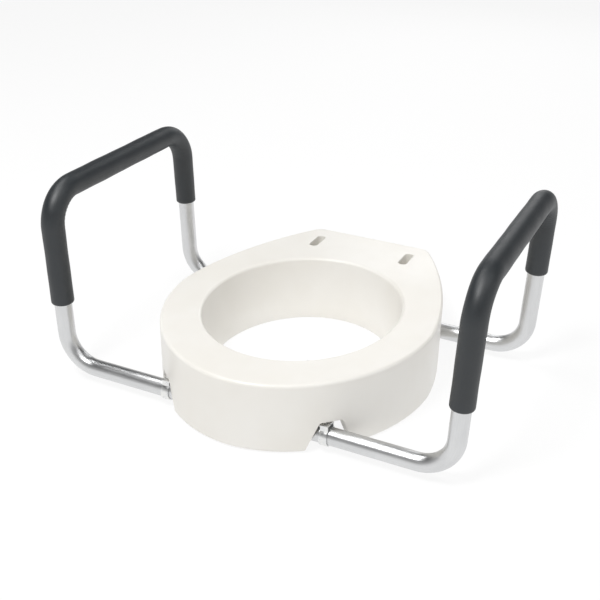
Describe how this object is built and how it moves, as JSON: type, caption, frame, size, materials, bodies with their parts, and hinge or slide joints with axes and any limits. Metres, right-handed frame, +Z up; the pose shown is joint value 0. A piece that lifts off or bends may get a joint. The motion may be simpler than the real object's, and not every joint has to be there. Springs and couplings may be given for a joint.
{
  "type": "raised toilet seat",
  "caption": "Raised toilet seat with an oval opening, bolt slots at the back, and removable bent-tube arms with padded foam grips on both sides.",
  "frame": {"origin": "on the surface the pads rest on, below the middle of the part's bounding box", "axes": "+X to the user's left as the user sits, which is the right of someone facing the front; +Y to the back (hinge) side; +Z up"},
  "size_m": [0.566, 0.444, 0.2634],
  "materials": {
    "seat_plastic": "smooth, semi-gloss",
    "arm_aluminium": "satin anodised",
    "grip_foam": "fine closed-cell foam, matt",
    "plated_steel": "zinc plated",
    "button_steel": "nickel plated",
    "spring_steel": "bare spring steel",
    "pad_rubber": "matt"
  },
  "bodies": {
    "seat": {"seat_shell": "seat_plastic", "front_left_foot_pad": "pad_rubber", "rear_left_foot_pad": "pad_rubber", "front_right_foot_pad": "pad_rubber", "rear_right_foot_pad": "pad_rubber", "front_left_outer_strap": "plated_steel", "front_left_inner_strap": "plated_steel", "front_left_outer_screw_1": "plated_steel", "front_left_outer_screw_2": "plated_steel", "front_left_inner_screw_1": "plated_steel", "front_left_inner_screw_2": "plated_steel", "rear_left_outer_strap": "plated_steel", "rear_left_inner_strap": "plated_steel", "rear_left_outer_screw_1": "plated_steel", "rear_left_outer_screw_2": "plated_steel", "rear_left_inner_screw_1": "plated_steel", "rear_left_inner_screw_2": "plated_steel", "front_right_outer_strap": "plated_steel", "front_right_inner_strap": "plated_steel", "front_right_outer_screw_1": "plated_steel", "front_right_outer_screw_2": "plated_steel", "front_right_inner_screw_1": "plated_steel", "front_right_inner_screw_2": "plated_steel", "rear_right_outer_strap": "plated_steel", "rear_right_inner_strap": "plated_steel", "rear_right_outer_screw_1": "plated_steel", "rear_right_outer_screw_2": "plated_steel", "rear_right_inner_screw_1": "plated_steel", "rear_right_inner_screw_2": "plated_steel"},
    "left_arm": {"left_arm_tube": "arm_aluminium", "left_arm_grip": "grip_foam", "front_left_button_spring": "spring_steel", "rear_left_button_spring": "spring_steel"},
    "right_arm": {"right_arm_tube": "arm_aluminium", "right_arm_grip": "grip_foam", "front_right_button_spring": "spring_steel", "rear_right_button_spring": "spring_steel"},
    "front_left_button": {"front_left_snap_button": "button_steel"},
    "rear_left_button": {"rear_left_snap_button": "button_steel"},
    "front_right_button": {"front_right_snap_button": "button_steel"},
    "rear_right_button": {"rear_right_snap_button": "button_steel"}
  },
  "joints": [
    {"name": "left_arm_slide", "type": "slide", "parent": "seat", "child": "left_arm", "axis": [-1, 0, 0], "range_m": [0, 0.2]},
    {"name": "front_left_button_press", "type": "slide", "parent": "left_arm", "child": "front_left_button", "axis": [0, 0, 1], "range_m": [0, 0.0045], "stiffness_N_per_m": 1500, "springref_m": -0.001, "deforming": ["front_left_button_spring"]},
    {"name": "rear_left_button_press", "type": "slide", "parent": "left_arm", "child": "rear_left_button", "axis": [0, 0, 1], "range_m": [0, 0.0045], "stiffness_N_per_m": 1500, "springref_m": -0.001, "deforming": ["rear_left_button_spring"]},
    {"name": "right_arm_slide", "type": "slide", "parent": "seat", "child": "right_arm", "axis": [1, 0, 0], "range_m": [0, 0.2]},
    {"name": "front_right_button_press", "type": "slide", "parent": "right_arm", "child": "front_right_button", "axis": [0, 0, 1], "range_m": [0, 0.0045], "stiffness_N_per_m": 1500, "springref_m": -0.001, "deforming": ["front_right_button_spring"]},
    {"name": "rear_right_button_press", "type": "slide", "parent": "right_arm", "child": "rear_right_button", "axis": [0, 0, 1], "range_m": [0, 0.0045], "stiffness_N_per_m": 1500, "springref_m": -0.001, "deforming": ["rear_right_button_spring"]}
  ]
}
